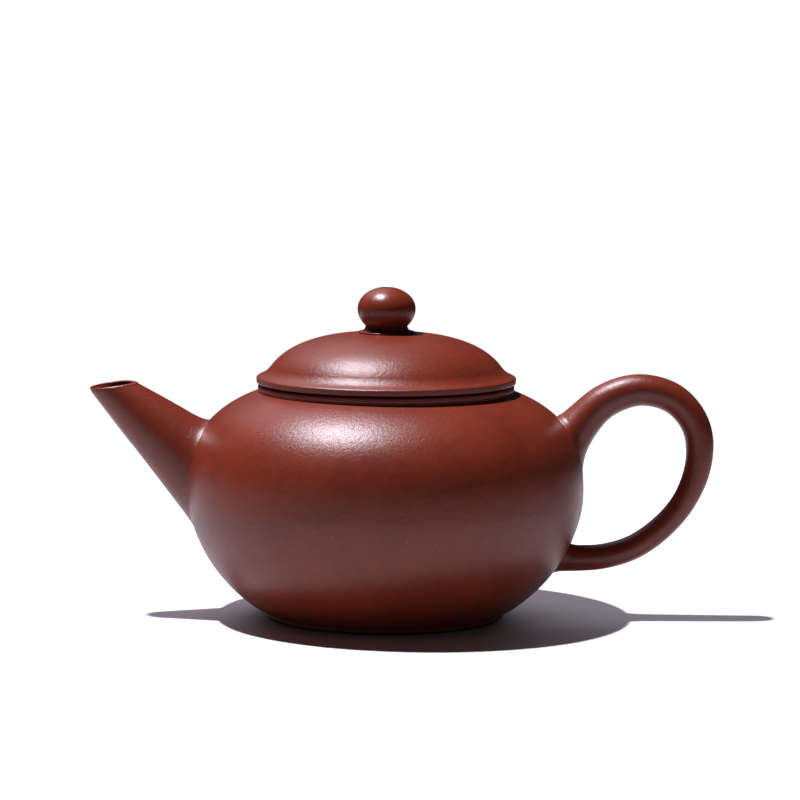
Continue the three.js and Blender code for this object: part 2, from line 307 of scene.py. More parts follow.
def hand_work(piece, depth):
    """The slight unevenness of a hand-built surface, in millimetres along its normals."""
    mesh = piece.data
    places = np.empty(3 * len(mesh.vertices), np.float32)
    normals = np.empty(3 * len(mesh.vertices), np.float32)
    mesh.vertices.foreach_get("co", places)
    mesh.vertices.foreach_get("normal", normals)
    amounts = []
    for place in (places.reshape(-1, 3) / MM).tolist():
        broad = noise.noise(Vector([at / size for at, size in zip(place, UNEVEN_BROAD)]))
        fine = noise.noise(Vector([at / size for at, size in zip(place, UNEVEN_FINE)]))
        amounts.append(depth * (broad + UNEVEN_FINE_SHARE * fine) * MM)
    places += np.repeat(np.array(amounts, np.float32), 3) * normals
    mesh.vertices.foreach_set("co", places)
    mesh.update()


def cut(piece, cutter):
    """Takes the cutter out of the piece, and removes the cutter."""
    tool = piece.modifiers.new("cut", "BOOLEAN")
    tool.operation = "DIFFERENCE"
    tool.solver = "EXACT"
    tool.object = cutter
    bpy.context.view_layer.update()
    depsgraph = bpy.context.evaluated_depsgraph_get()
    mesh = bpy.data.meshes.new_from_object(piece.evaluated_get(depsgraph))
    piece.modifiers.clear()
    old = piece.data
    piece.data = mesh
    mesh.name = old.name
    bpy.data.meshes.remove(old)
    bpy.data.objects.remove(cutter)


def rod(name, start, direction, radius, length, around):
    """A straight round bar used as a cutter, in millimetres."""
    direction = Vector(direction).normalized()
    turn_to = direction.to_track_quat("Z", "Y").to_matrix()
    angle = np.linspace(0, TAU, around, endpoint=False)
    circle = np.stack([radius * np.cos(angle), radius * np.sin(angle), np.zeros(around)], axis=1)
    rings = np.stack([circle, circle + np.array([0, 0, length])])
    rings = rings @ np.array(turn_to).T + np.array(start)
    return skin(name, rings, closed=False)


# ---- Materials ----------------------------------------------------------------------------------

class Nodes:
    """Short calls for building a material's node tree."""

    def __init__(self, name):
        self.material = bpy.data.materials.new(name)
        self.material.use_nodes = True
        self.tree = self.material.node_tree
        self.tree.nodes.clear()

    def add(self, kind, **settings):
        node = self.tree.nodes.new(kind)
        for key, value in settings.items():
            setattr(node, key, value)
        return node

    def link(self, output, socket):
        self.tree.links.new(output, socket)

    def place(self):
        """Object coordinates in millimetres."""
        where = self.add("ShaderNodeTexCoord")
        scale = self.add("ShaderNodeVectorMath", operation="SCALE")
        scale.inputs["Scale"].default_value = 1 / MM
        self.link(where.outputs["Object"], scale.inputs[0])
        return scale.outputs[0]

    def shifted(self, place, offset):
        """Moved coordinates, so that one pattern doesn't follow another."""
        mapping = self.add("ShaderNodeMapping")
        mapping.inputs["Location"].default_value = offset
        self.link(place, mapping.inputs["Vector"])
        return mapping.outputs[0]

    def noise(self, place, size, detail=2.0, roughness=0.5):
        """Noise with features of about the given size in millimetres."""
        node = self.add("ShaderNodeTexNoise")
        node.inputs["Scale"].default_value = 1 / size
        node.inputs["Detail"].default_value = detail
        node.inputs["Roughness"].default_value = roughness
        self.link(place, node.inputs["Vector"])
        return node.outputs["Fac"]

    def span(self, value, low, high, out_low=0.0, out_high=1.0):
        """Maps low..high of a value to out_low..out_high, held at the ends."""
        node = self.add("ShaderNodeMapRange")
        ends = {"From Min": low, "From Max": high, "To Min": out_low, "To Max": out_high}
        for key, number in ends.items():
            node.inputs[key].default_value = number
        self.link(value, node.inputs["Value"])
        return node.outputs["Result"]

    def math(self, operation, first, second):
        node = self.add("ShaderNodeMath", operation=operation)
        for value, socket in zip((first, second), node.inputs):
            if isinstance(value, (int, float)):
                socket.default_value = value
            else:
                self.link(value, socket)
        return node.outputs[0]

    def blend(self, share, first, second):
        """Mixes two colours by an output; each may be a colour or an output."""
        node = self.add("ShaderNodeMix", data_type="RGBA")
        colours = [socket for socket in node.inputs if socket.type == "RGBA"]
        self.link(share, node.inputs["Factor"])
        for value, socket in zip((first, second), colours):
            if isinstance(value, tuple):
                socket.default_value = (*value, 1)
            else:
                self.link(value, socket)
        return next(socket for socket in node.outputs if socket.type == "RGBA")

    def principled(self, tone, roughness):
        """The material's shader, coloured by an output; roughness is a number or an output."""
        shader = self.add("ShaderNodeBsdfPrincipled")
        self.link(tone, shader.inputs["Base Color"])
        if isinstance(roughness, float):
            shader.inputs["Roughness"].default_value = roughness
        else:
            self.link(roughness, shader.inputs["Roughness"])
        output = self.add("ShaderNodeOutputMaterial")
        self.link(shader.outputs[0], output.inputs["Surface"])
        return shader

    def specks(self, place, spacing, size, share):
        """Round specks of a size in millimetres, in a share of the cells of a spacing."""
        cells = self.add("ShaderNodeTexVoronoi", feature="F1")
        cells.inputs["Scale"].default_value = 1 / spacing
        self.link(place, cells.inputs["Vector"])
        core, edge = 0.3 * size / spacing, 0.55 * size / spacing
        near = self.span(cells.outputs["Distance"], core, edge, 1, 0)
        pick = self.add("ShaderNodeSeparateColor")
        self.link(cells.outputs["Color"], pick.inputs[0])
        chosen = self.math("GREATER_THAN", pick.outputs[0], 1 - share)
        return self.math("MULTIPLY", near, chosen)


# Sizes of the clay's patterns in millimetres, and how much each one shows.
MOTTLE_SIZE, MOTTLE_SHARE = 9.0, 0.55
DUSTING_SIZE, DUSTING_SHARE = 1.7, 0.22
SAND_SIZE, SAND_SHARE = 0.32, 0.18
PALE_SPACING, PALE_SIZE, PALE_CELLS, PALE_SHARE = 1.7, 0.3, 0.12, 0.55
PIN_SPACING, PIN_SIZE, PIN_CELLS, PINHOLE_SHADE_SHARE = 2.3, 0.3, 0.06, 0.7
SMEAR_SIZE = 2.4
PEEL_SIZE = 0.7
GRAIN_SIZE = 0.16
PALE_COLOUR = (0.42, 0.20, 0.13)
# The pinholes' near-black colour is painted shade for the inside of the pits.
PINHOLE_SHADE_COLOUR = (0.03, 0.008, 0.005)
CLAY_SPECULAR = 0.57
SMEAR_SMOOTHER, SMEAR_ROUGHER, SAND_ROUGHER = 0.012, 0.02, 0.03
PIN_DEPTH, PALE_STAND = 0.8, 0.1    # shares of the peel's height


def clay(name, colour, dark, light, roughness, peel, grain):
    """Unglazed zisha clay: mottled colour, fine sand grain, light specks, pinholes darkened with painted
    shade, and a fine peel.
    peel and grain are their heights in the bump, in millimetres."""
    n = Nodes(name)
    place = n.place()
    mottle = n.span(n.noise(place, MOTTLE_SIZE, 3.0), 0.35, 0.65)
    dusting = n.span(n.noise(n.shifted(place, (31, 7, 3)), DUSTING_SIZE, 3.0), 0.35, 0.65)
    sand = n.span(n.noise(n.shifted(place, (5, 17, 11)), SAND_SIZE), 0.3, 0.7)
    pale = n.specks(n.shifted(place, (2, 9, 4)), PALE_SPACING, PALE_SIZE, PALE_CELLS)
    pin = n.specks(n.shifted(place, (13, 3, 8)), PIN_SPACING, PIN_SIZE, PIN_CELLS)
    tone = colour
    # The pinholes are darkened with painted shade; the other patterns are the clay's own colour.
    for pattern, share, towards in (
            (mottle, MOTTLE_SHARE, dark), (dusting, DUSTING_SHARE, light), (sand, SAND_SHARE, dark),
            (pale, PALE_SHARE, PALE_COLOUR), (pin, PINHOLE_SHADE_SHARE, PINHOLE_SHADE_COLOUR)):
        tone = n.blend(n.math("MULTIPLY", pattern, share), tone, towards)

    smear = n.noise(n.shifted(place, (1, 22, 6)), SMEAR_SIZE, 3.0)
    rough = n.span(smear, 0.3, 0.7, roughness - SMEAR_SMOOTHER, roughness + SMEAR_ROUGHER)
    rough = n.math("ADD", rough, n.math("MULTIPLY", sand, SAND_ROUGHER))

    peel_height = n.noise(n.shifted(place, (8, 1, 19)), PEEL_SIZE)
    grain_height = n.noise(n.shifted(place, (3, 5, 2)), GRAIN_SIZE, 2.0, 0.6)
    height = n.math("ADD", n.math("MULTIPLY", peel_height, peel), n.math("MULTIPLY", grain_height, grain))
    height = n.math("SUBTRACT", height, n.math("MULTIPLY", pin, PIN_DEPTH * peel))
    height = n.math("ADD", height, n.math("MULTIPLY", pale, PALE_STAND * peel))
    bump = n.add("ShaderNodeBump")
    bump.inputs["Strength"].default_value = 1.0
    bump.inputs["Distance"].default_value = MM
    n.link(height, bump.inputs["Height"])

    shader = n.principled(tone, rough)
    shader.inputs["Specular IOR Level"].default_value = CLAY_SPECULAR
    n.link(bump.outputs[0], shader.inputs["Normal"])
    return n.material


BODY_TONES = (0.226, 0.0315, 0.0118), (0.150, 0.0185, 0.0085), (0.290, 0.050, 0.025)
INNER_TONES = (0.19, 0.027, 0.013), (0.125, 0.016, 0.008), (0.25, 0.046, 0.025)

body_clay = clay("body_clay", *BODY_TONES, roughness=0.310, peel=0.040, grain=0.042)
lid_clay = clay("lid_clay", *BODY_TONES, roughness=0.325, peel=0.052, grain=0.045)
knob_clay = clay("knob_clay", *BODY_TONES, roughness=0.285, peel=0.026, grain=0.030)
inner_clay = clay("inner_clay", *INNER_TONES, roughness=0.62, peel=0.03, grain=0.012)
foot_clay = clay("foot_clay", *BODY_TONES, roughness=0.46, peel=0.018, grain=0.008)


def finish(piece, node, slot, body, *materials):
    """Gives a piece its materials and its body, and hides the CAD node that it stands for."""
    piece.data.materials.clear()
    for material in materials:
        piece.data.materials.append(material)
    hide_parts(node)
    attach(piece, body)


# ---- The pot ------------------------------------------------------------------------------------

def make_body_wall():
    outside = body_outline(FOOT_CREASE, NECK_JOINT, 0, 70)
    hidden = FOOT_RADIUS - 0.3
    crease = [(hidden, FOOT_HEIGHT), (hidden, FOOT_CREASE - 0.12),
              (outside[0][0] - 0.18, FOOT_CREASE - 0.1)]
    inside = body_outline(FLOOR_HEIGHT, MOUTH_UNDERSIDE, BODY_WALL, 40)[::-1]
    top_lip = [(inside[0][0], NECK_JOINT)]
    bottom_lip = [(inside[-1][0], FOOT_HEIGHT)]
    outline = np.concatenate([crease, outside, top_lip, inside, bottom_lip])
    clean = len(crease) + len(outside)
    bands = [0] * clean + [1] * (len(outline) - clean)
    piece = turned("clay_body_wall", outline, bands=bands)
    hand_work(piece, BODY_UNEVEN)
    start = (AXIS_X - 1.5 * BODY_RADIUS, 0, SPOUT_HOLE_HEIGHT)
    cut(piece, rod("hole", start, (1, 0, 0), SPOUT_HOLE_RADIUS, BODY_RADIUS, HOLE_AROUND))
    finish(piece, "body_wall", "body_clay", "pot", body_clay, inner_clay)


def make_base_disc():
    """The floor of the chamber, which a small cove joins to the wall."""
    radius = body_radius_at(FLOOR_HEIGHT, BODY_WALL) - 0.1
    bottom = FOOT_HEIGHT + 0.25
    near_axis = 0.05
    cove = soft_corner((radius - 2.6, FLOOR_HEIGHT), (radius - 0.4, FLOOR_HEIGHT),
                       (radius + 0.75, FLOOR_HEIGHT + 0.95), 10)
    outline = np.concatenate([
        [(near_axis, bottom)], spaced((near_axis, bottom), (radius, bottom), 14),
        [(radius, bottom), (radius + 0.6, FLOOR_HEIGHT - 0.4)],
        cove[::-1], spaced(cove[0], (near_axis, FLOOR_HEIGHT), 14), [(near_axis, FLOOR_HEIGHT)],
    ])
    piece = turned("clay_base_disc", outline, closed=False)
    hand_work(piece, SMALL_UNEVEN)
    finish(piece, "base_disc", "inner_clay", "pot", inner_clay)


def make_mouth_disc():
    radius = body_radius_at(MOUTH_UNDERSIDE, BODY_WALL) + 0.2
    rounding = 0.6
    under = corner_arc((MOUTH_RADIUS + rounding, MOUTH_UNDERSIDE + rounding), rounding, rounding, 180, 270, 6)
    outline = np.concatenate([
        under, spaced(under[-1], (radius, MOUTH_UNDERSIDE), 4),
        [(radius, MOUTH_UNDERSIDE), (radius, NECK_JOINT), (MOUTH_RADIUS, NECK_JOINT)],
        [(MOUTH_RADIUS, NECK_JOINT - 0.35)],
    ])
    piece = turned("clay_mouth_disc", outline)
    finish(piece, "mouth_disc", "inner_clay", "pot", inner_clay)


def make_foot_ring():
    """The foot, narrowed to a shallow groove under the body's lower edge."""
    inner = FOOT_RADIUS - FOOT_WIDTH
    top = FOOT_HEIGHT + 0.3
    hidden = FOOT_RADIUS - 0.2
    round_in = 0.35
    outline = np.concatenate([
        corner_arc((FOOT_RADIUS - 0.2, 0.4), 0.42, 0.4, -90, 0, 6),
        [(FOOT_RADIUS + 0.19, 0.72), (FOOT_RADIUS + 0.06, 0.98), (FOOT_RADIUS + 0.05, 1.25)],
        [(FOOT_RADIUS + 0.12, FOOT_CREASE), (FOOT_RADIUS - 0.15, FOOT_CREASE + 0.05), (hidden, top)],
        spaced((hidden, top), (inner, top), 3),
        [(inner, top), (inner - 0.05, FOOT_HEIGHT)],
        corner_arc((inner + round_in, round_in), round_in, round_in, 180, 270, 6),
    ])
    piece = turned("clay_foot_ring", outline)
    finish(piece, "foot_ring", "foot_clay", "pot", foot_clay)


def make_neck_ring():
    bottom = NECK_JOINT - 0.15
    round_out = 0.32
    round_in = 0.3
    outline = np.concatenate([
        [(MOUTH_RADIUS, bottom), (NECK_RADIUS - 0.06, bottom)],
        corner_arc((NECK_RADIUS - 0.5, NECK_JOINT + 0.62), 0.5, 0.55, -50, 0, 5),
        corner_arc((NECK_RADIUS - round_out, NECK_TOP - round_out), round_out, round_out, 0, 90, 6),
        spaced((NECK_RADIUS - round_out, NECK_TOP), (MOUTH_RADIUS + round_in, NECK_TOP), 5),
        corner_arc((MOUTH_RADIUS + round_in, NECK_TOP - round_in), round_in, round_in, 90, 180, 5),
    ])
    piece = turned("clay_neck_ring", outline)
    finish(piece, "neck_ring", "body_clay", "pot", body_clay)


SPOUT_ALONG = np.array([-math.cos(SPOUT_ANGLE), 0, math.sin(SPOUT_ANGLE)])
SPOUT_UP = np.array([math.sin(SPOUT_ANGLE), 0, math.cos(SPOUT_ANGLE)])
SPOUT_MOUTH = np.array([-BODY_RADIUS - SPOUT_REACH, 0, NECK_TOP - SPOUT_DROP])
SPOUT_CUT = np.array([-math.sin(SPOUT_TILT), -SPOUT_LEAN, math.cos(SPOUT_TILT)])
SPOUT_HOLE_HEIGHT = SPOUT_MOUTH[2] - SPOUT_REACH * math.tan(SPOUT_ANGLE) - SPOUT_HOLE_DROP
SPOUT_AROUND = 128
SPOUT_SUNK = 1.2
SPOUT_SEARCH = 45
SEARCH_STEPS = 40
STEEPEST = 1.5


def outside_body(points):
    """How far points lie outside the body's outer face, roughly along its normal. Points are about
    the pot's axis. The slope is held at STEEPEST, because at the shoulder's top it grows without end."""
    step = 0.05
    height = points[..., 2]
    radius = body_radius_at(height)
    slope = (body_radius_at(height + step) - body_radius_at(height - step)) / (2 * step)
    slope = np.clip(slope, -STEEPEST, STEEPEST)
    return (np.hypot(points[..., 0], points[..., 1]) - radius) / np.sqrt(1 + slope ** 2)


class Cone:
    """A cone about the spout's axis; back is the distance from the mouth towards the body."""

    def __init__(self, radius, taper):
        angle = np.linspace(0, TAU, SPOUT_AROUND, endpoint=False)
        self.radius = radius
        self.taper = taper
        self.up_share = np.cos(angle)
        self.out = np.cos(angle)[:, None] * SPOUT_UP + np.sin(angle)[:, None] * np.array([0, 1, 0])

    def at(self, back, swell=0.0):
        """Points round the cone, one for each angle, at a distance back for each."""
        radius = self.radius + self.taper * back + swell
        return SPOUT_MOUTH - back[:, None] * SPOUT_ALONG + radius[:, None] * self.out

    def mouth(self):
        """Distance back to the plane that cuts the mouth."""
        lean = self.out @ SPOUT_CUT
        return self.radius * lean / (SPOUT_CUT @ SPOUT_ALONG - self.taper * lean)

    def root(self, depth):
        """Distance back to where the cone is the given depth inside the body's outer face."""
        near = self.mouth()
        far = near + SPOUT_SEARCH
        for _ in range(SEARCH_STEPS):
            middle = (near + far) / 2
            clear = outside_body(self.at(middle)) > -depth
            near = np.where(clear, middle, near)
            far = np.where(clear, far, middle)
        return near


# The spout's flare into the body, stronger above than beneath, as two powers of the nearness to it.
SPOUT_FLARE, FLARE_TILT = 0.42, 0.3
FLARE_LENGTH, FLARE_MOST = 4.2, 1.25
FLARE_WIDE, FLARE_CLOSE = (0.62, 2), (0.38, 7)
# The rounding of the mouth's outer edge, larger beneath, and the thinning of the wall over the mouth.
EDGE_ROUNDING, EDGE_LENGTH = 0.06, 0.4
TIP_ROUNDING, TIP_LENGTH = 0.26, 0.8
THINNING, THINNING_LENGTH, THINNING_POWER = 0.42, 10, 1.3
# The mouth's lip between the outer face and the bore, and the bore's wider and thinner parts by it.
OUTER_RISE, BORE_RISE, LIP_HEIGHT = 0.3, 0.16, 0.3
BORE_FLARE, BORE_FLARE_LENGTH = 0.13, 1.0
BORE_NARROWING, BORE_NARROWING_LENGTH = 0.23, 8


def make_spout():
    outer = Cone(SPOUT_MOUTH_RADIUS, SPOUT_TAPER)
    bore = Cone(SPOUT_MOUTH_RADIUS - SPOUT_LIP, SPOUT_BORE_TAPER)
    over = np.clip(outer.up_share, 0, 1)
    beneath = np.clip(-outer.up_share, 0, 1)
    mouth = outer.mouth()
    surface = outer.root(0.0)
    start = outer.root(SPOUT_SUNK)
    end = mouth + OUTER_RISE
    flare = SPOUT_FLARE + FLARE_TILT * over - FLARE_TILT * beneath
    edge = EDGE_ROUNDING + TIP_ROUNDING * beneath ** 2
    edge_length = EDGE_LENGTH + TIP_LENGTH * beneath
    rings = []
    for share in 1 - (1 - np.linspace(0, 1, 90)) ** 1.3:
        back = start + (end - start) * share
        near = np.clip(1 - (surface - back) / FLARE_LENGTH, 0, FLARE_MOST)
        widening = flare * sum(part * near ** power for part, power in (FLARE_WIDE, FLARE_CLOSE))
        rounding = edge * np.clip(1 - (back - mouth) / edge_length, 0, 1) ** 2
        thinner = over ** 2 * np.clip(1 - (back - mouth) / THINNING_LENGTH, 0, 1) ** THINNING_POWER
        rings.append(outer.at(back, widening - rounding - THINNING * thinner))
    outer_edge = rings[-1]
    bore_end = bore.mouth() + BORE_RISE
    inner_edge = bore.at(bore_end, BORE_FLARE - BORE_NARROWING * over ** 2)
    middle, reach = (outer_edge + inner_edge) / 2, (outer_edge - inner_edge) / 2
    for angle in np.linspace(0, math.pi, 13)[1:-1]:
        rings.append(middle + reach * math.cos(angle) + SPOUT_CUT * LIP_HEIGHT * math.sin(angle))
    red = len(rings) + 3
    bore_start = bore.root(SPOUT_SUNK)
    for share in np.linspace(0, 1, 44) ** 1.8:
        deep = (bore_start - bore_end) * share
        rim = np.clip(1 - deep / BORE_FLARE_LENGTH, 0, 1) ** 2
        closer = over ** 2 * np.clip(1 - deep / BORE_NARROWING_LENGTH, 0, 1)
        rings.append(bore.at(bore_end + deep, BORE_FLARE * rim - BORE_NARROWING * closer))
    rings = np.array(rings) + np.array([AXIS_X, 0, 0])
    bands = [0] * red + [1] * (len(rings) - red)
    piece = skin("clay_spout", rings[:, ::-1], closed=True, bands=bands)
    hand_work(piece, SMALL_UNEVEN)
    finish(piece, "spout", "body_clay", "pot", body_clay, inner_clay)


def make_strainer():
    """A pierced half ball inside the pot, over the spout hole, with its axis along x."""
    centre = np.array([AXIS_X + BODY_WALL - BODY_RADIUS, 0, SPOUT_HOLE_HEIGHT])
    around = 72
    angle = np.linspace(0, TAU, around, endpoint=False)
    outer = np.linspace(STRAINER_EDGE, STRAINER_POLE, 34)
    inner = np.linspace(STRAINER_POLE, STRAINER_EDGE, 30)
    rings = []
    for radius, tilts in ((STRAINER_RADIUS, outer), (STRAINER_RADIUS - STRAINER_WALL, inner)):
        for tilt in tilts:
            across = math.sin(tilt)
            ring = [np.full(around, math.cos(tilt)), across * np.cos(angle), across * np.sin(angle)]
            rings.append(centre + radius * np.stack(ring, axis=1))
    piece = skin("clay_strainer", np.array(rings)[:, ::-1], closed=True)
    for count, degrees in STRAINER_RINGS:
        lean = math.radians(degrees)
        for i in range(count):
            spin = TAU * i / count
            way = (math.cos(lean), math.sin(lean) * math.cos(spin), math.sin(lean) * math.sin(spin))
            start = centre + np.array(way) * STRAINER_RADIUS * 0.5
            cut(piece, rod("hole", start, way, STRAINER_HOLE_RADIUS, STRAINER_RADIUS, 20))
    finish(piece, "strainer", "inner_clay", "pot", inner_clay)


# The handle's rings, crowded to its two ends, and its flare into the body. The bead round its upper
# root is a sum of bells: height, distance from the body, width.
HANDLE_RINGS, HANDLE_AROUND = 360, 96
HANDLE_CROWDING = 0.72
HANDLE_FLARE, HANDLE_FLARE_LENGTH = 0.35, 1.5
HANDLE_BEAD = ((0.09, 0.62, 0.2), (-0.10, 0.3, 0.14), (-0.05, 1.05, 0.16))
BEAD_SPREAD = 0.35
HANDLE_SUNK = 1.5


def make_handle():
    height = NECK_TOP - HANDLE_TOP_DROP - HANDLE_LOWEST
    knots = [(BODY_RADIUS + out, 0, HANDLE_LOWEST + up * height) for out, up in HANDLE_LINE]
    fine = catmull_rom(knots, 60, 0.5)
    length = np.concatenate([[0], np.cumsum(np.linalg.norm(np.diff(fine, axis=0), axis=1))])
    even = np.linspace(0, 1, HANDLE_RINGS)
    share = even - HANDLE_CROWDING * np.sin(TAU * even) / TAU
    line = np.stack([np.interp(share * length[-1], length, fine[:, k]) for k in range(3)], axis=1)
    tangent = np.gradient(line, axis=0)
    tangent /= np.linalg.norm(tangent, axis=1)[:, None]
    side = np.stack([-tangent[:, 2], np.zeros(len(line)), tangent[:, 0]], axis=1)
    halves = catmull_rom(list(enumerate(HANDLE_HALVES)), 30, 0)
    half = np.interp(share, halves[:, 0] / (len(HANDLE_HALVES) - 1), halves[:, 1])
    angle = np.linspace(0, TAU, HANDLE_AROUND, endpoint=False)
    out = (
        np.cos(angle)[None, :, None] * side[:, None, :]
        + np.sin(angle)[None, :, None] * HANDLE_WIDTH_RATIO * np.array([0, 1, 0])
    )
    rings = line[:, None, :] + half[:, None, None] * out
    clear = outside_body(rings)
    flare = HANDLE_FLARE * np.clip(1 - clear / HANDLE_FLARE_LENGTH, 0, 1.5) ** 2
    bead = sum(rise * np.exp(-((clear - place) / width) ** 2) for rise, place, width in HANDLE_BEAD)
    bead = bead * np.clip(BEAD_SPREAD + out[:, :, 2], 0, 1)
    upper = (share < 0.5)[:, None]
    rings = rings + (flare + np.where(upper, bead, 0))[:, :, None] * out
    keep = outside_body(rings).max(axis=1) > -HANDLE_SUNK
    rings = rings[keep] + np.array([AXIS_X, 0, 0])
    piece = skin("clay_handle", rings, closed=False)
    hand_work(piece, BODY_UNEVEN)
    finish(piece, "handle", "body_clay", "pot", body_clay)


# ---- The lid ------------------------------------------------------------------------------------

DOME_RISE = DOME_TOP - DOME_FOOT
DOME_FOOT_SHARE = super_height(DOME_SINK, DOME_RISE + DOME_SINK, 1, DOME_FULLNESS)
DOME_RADIUS = (LID_RADIUS - LID_LIP_WIDTH) / DOME_FOOT_SHARE


def dome_arc(inset, from_height, steps):
    """The dome's outline at an inset from its outer face, from a height up to the vent."""
    radius = DOME_RADIUS - inset
    rise = DOME_RISE + DOME_SINK - inset
    top = super_height(VENT_RADIUS, radius, rise, DOME_FULLNESS)
    arc = super_arc(radius, rise, DOME_FULLNESS, from_height - DOME_FOOT + DOME_SINK, float(top), steps)
    arc[:, 1] += DOME_FOOT - DOME_SINK
    return arc


def dome_radius_at(height):
    """Radius of the dome's outer face at a height."""
    over = np.asarray(height, float) - DOME_FOOT + DOME_SINK
    return super_height(over, DOME_RISE + DOME_SINK, DOME_RADIUS, DOME_FULLNESS)


# The lip's outline, out from the lid's radius and up from its seat, then the corner of the fillet that
# joins it to the dome, the height where the fillet meets the dome, and the part tucked under the dome.
LIP_LINE = (
    (-0.26, 0.02), (-0.08, 0.12), (-0.02, 0.42), (0.0, 0.80), (0.0, 1.02), (-0.06, 1.14), (-0.2, 1.26),
    (-0.5, 1.42), (-0.9, 1.60),
)
FILLET_CORNER = (-2.0, 2.1)
FILLET_TOP = 3.3
TUCK_DEPTH = 0.25


def make_lid_rim():
    lip = catmull_rom([(LID_RADIUS + out, LID_SEAT + up) for out, up in LIP_LINE], 4, 0.5)
    corner = (LID_RADIUS + FILLET_CORNER[0], LID_SEAT + FILLET_CORNER[1])
    meet = LID_SEAT + FILLET_TOP
    fillet = soft_corner(lip[-1], corner, (dome_radius_at(meet), meet), 14)
    under = np.linspace(0.1, 0.9, 7)
    tuck = np.stack([dome_radius_at(meet + under) - TUCK_DEPTH * under ** 2, meet + under], axis=1)
    last = tuck[-1]
    outline = np.concatenate([
        [(LID_BORE, LID_SEAT)], spaced((LID_BORE, LID_SEAT), (LID_RADIUS - 0.3, LID_SEAT), 6),
        lip, fillet[1:], tuck,
        [(last[0] - 0.4, last[1] - 0.2), (last[0] - 1.0, LID_RIM_TOP), (LID_BORE, LID_RIM_TOP)],
    ])
    piece = turned("clay_lid_rim", outline)
    hand_work(piece, LID_UNEVEN)
    finish(piece, "lid_rim", "lid_clay", "lid", lid_clay)


def make_lid_dome():
    outside = dome_arc(0, DOME_FOOT, 60)
    inside = dome_arc(DOME_WALL, DOME_FOOT, 40)[::-1]
    vent = [(VENT_RADIUS, outside[-1][1]), (VENT_RADIUS, inside[0][1])]
    outline = np.concatenate([outside[:-1], vent, inside[1:]])
    bands = [0] * len(outside) + [1] * (len(outline) - len(outside))
    piece = turned("clay_lid_dome", outline, bands=bands)
    hand_work(piece, LID_UNEVEN)
    finish(piece, "lid_dome", "lid_clay", "lid", lid_clay, inner_clay)


def make_lid_wall():
    top = LID_SEAT + 0.1
    round_in = 0.5
    round_out, round_up = 0.8, 0.9
    outline = np.concatenate([
        [(LID_BORE, top)], spaced((LID_BORE, top), (LID_BORE, LID_WALL_BOTTOM + round_in), 6),
        corner_arc((LID_BORE + round_in, LID_WALL_BOTTOM + round_in), round_in, round_in, 180, 270, 6),
        corner_arc((LID_WALL_RADIUS - round_out, LID_WALL_BOTTOM + round_up), round_out, round_up, -90, 0, 8),
        spaced((LID_WALL_RADIUS, LID_WALL_BOTTOM + round_up), (LID_WALL_RADIUS, top), 6),
        [(LID_WALL_RADIUS, top)],
    ])
    piece = turned("clay_lid_wall", outline)
    finish(piece, "lid_wall", "inner_clay", "lid", inner_clay)


def make_knob_collar():
    seat = DOME_TOP - 0.12
    bottom = seat - 0.3
    flange = 0.3
    flange_radius = COLLAR_RADIUS - 0.14
    flare_radius = COLLAR_RADIUS - 0.1
    flare_height = COLLAR_TOP - seat - flange
    top = KNOB_BOTTOM + 0.1
    outline = np.concatenate([
        [(VENT_RADIUS, bottom), (flange_radius, bottom), (flange_radius, seat)],
        corner_arc((flange_radius, seat + 0.2), 0.16, 0.17, -60, 80, 8),
        corner_arc((flare_radius, COLLAR_TOP), flare_radius - KNOB_NECK_RADIUS, flare_height, 264, 180, 12),
        [(KNOB_NECK_RADIUS - 0.02, top), (VENT_RADIUS, top)],
    ])
    piece = turned("clay_knob_collar", outline, SMALL_AROUND)
    finish(piece, "knob_collar", "lid_clay", "lid", lid_clay)


def make_knob():
    """A flattened ball with the vent through it, sunk a little into its collar."""
    widest = KNOB_BOTTOM + KNOB_STAND
    sunk = 0.3
    edge = 0.12
    lower = super_arc(KNOB_RADIUS, KNOB_DROP, 2, KNOB_STAND + sunk, 0, 24)
    rim = VENT_RADIUS + edge
    top = float(super_height(rim, KNOB_RADIUS, KNOB_RISE, 2))
    upper = super_arc(KNOB_RADIUS, KNOB_RISE, 2, 0, top, 30)
    lower[:, 1] = widest - lower[:, 1]
    upper[:, 1] += widest
    vent_top = widest + top
    outline = np.concatenate([
        [(VENT_RADIUS, lower[0][1])], lower, upper[1:],
        soft_corner((rim, vent_top), (VENT_RADIUS, vent_top), (VENT_RADIUS, vent_top - edge), 4)[1:],
        spaced((VENT_RADIUS, vent_top - edge), (VENT_RADIUS, lower[0][1]), 8),
    ])
    piece = turned("clay_knob", outline, SMALL_AROUND)
    hand_work(piece, KNOB_UNEVEN)
    finish(piece, "knob", "lid_clay", "lid", knob_clay)


# ---- Stage --------------------------------------------------------------------------------------

FLOOR_RADIUS = 0.27     # metres
FLOOR_SEEN = (0.75, 0.75, 0.76), (0.78, 0.78, 0.79)
FLOOR_BOUNCE = (0.50, 0.50, 0.51), (0.53, 0.53, 0.54)
FLOOR_GLOW = (0.97, 0.97, 1.0, 1)
GLOW_START, GLOW_END, GLOW_STRENGTH = 70, 240, 0.5


